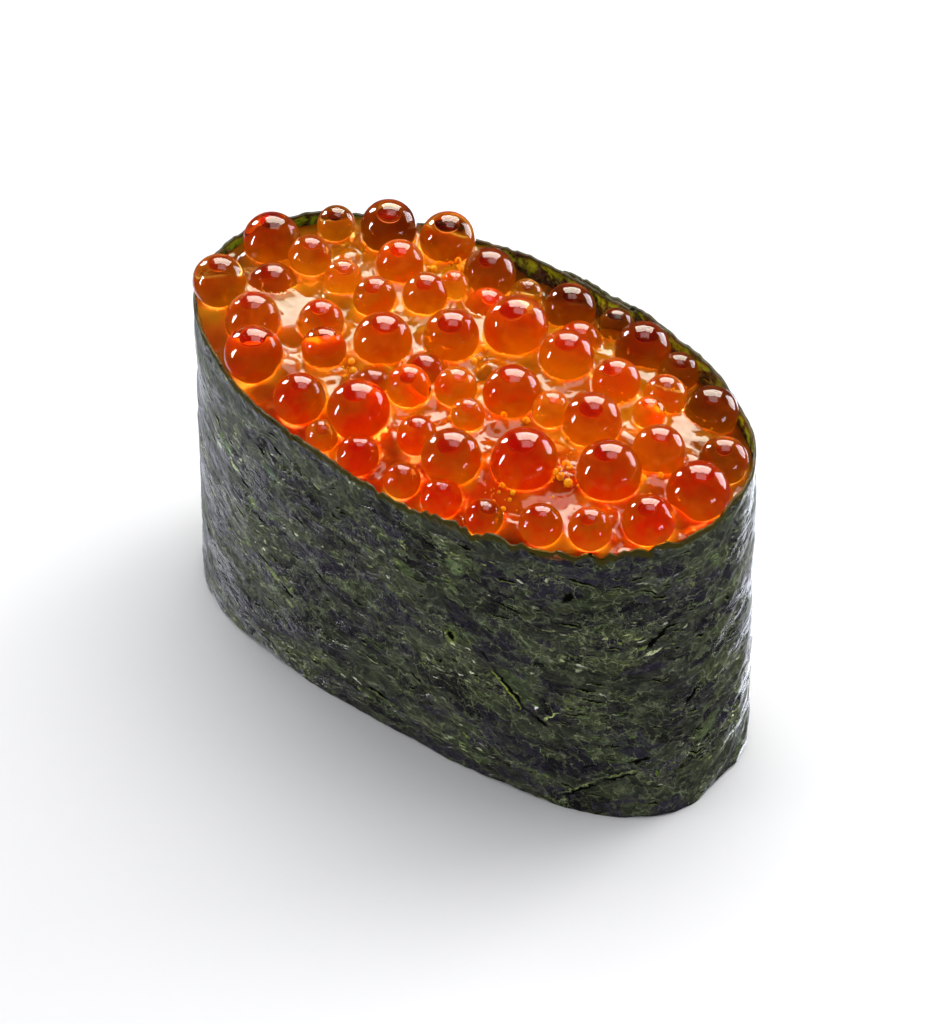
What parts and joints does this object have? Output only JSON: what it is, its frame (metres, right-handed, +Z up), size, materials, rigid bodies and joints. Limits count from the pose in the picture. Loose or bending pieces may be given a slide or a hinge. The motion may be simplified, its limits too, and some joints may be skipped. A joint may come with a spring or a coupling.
{
  "type": "gunkan sushi",
  "caption": "Gunkan sushi: a tall oval band of roasted seaweed round pressed rice, heaped with glossy salmon roe that stands above the rim.",
  "frame": {"origin": "on the board, under the middle of the band, on the flat-pressed grain at the middle of the rice's underside", "axes": "+Z up; X along the long axis, +X towards the rounder end of the rim's wider half; Y across"},
  "size_m": [0.0531, 0.0297, 0.0349],
  "materials": {
    "roasted_seaweed": "roasted seaweed sheet, near-black green, fibrous, satin sheen",
    "sushi_rice": "cooked short-grain rice, moist, off-white, slightly translucent",
    "salmon_roe": "salmon eggs in brine, wet, glossy, translucent orange"
  },
  "bodies": {
    "root": {"seaweed_band": "roasted_seaweed", "rice_block": "sushi_rice", "roe_heap": "salmon_roe"}
  },
  "joints": []
}
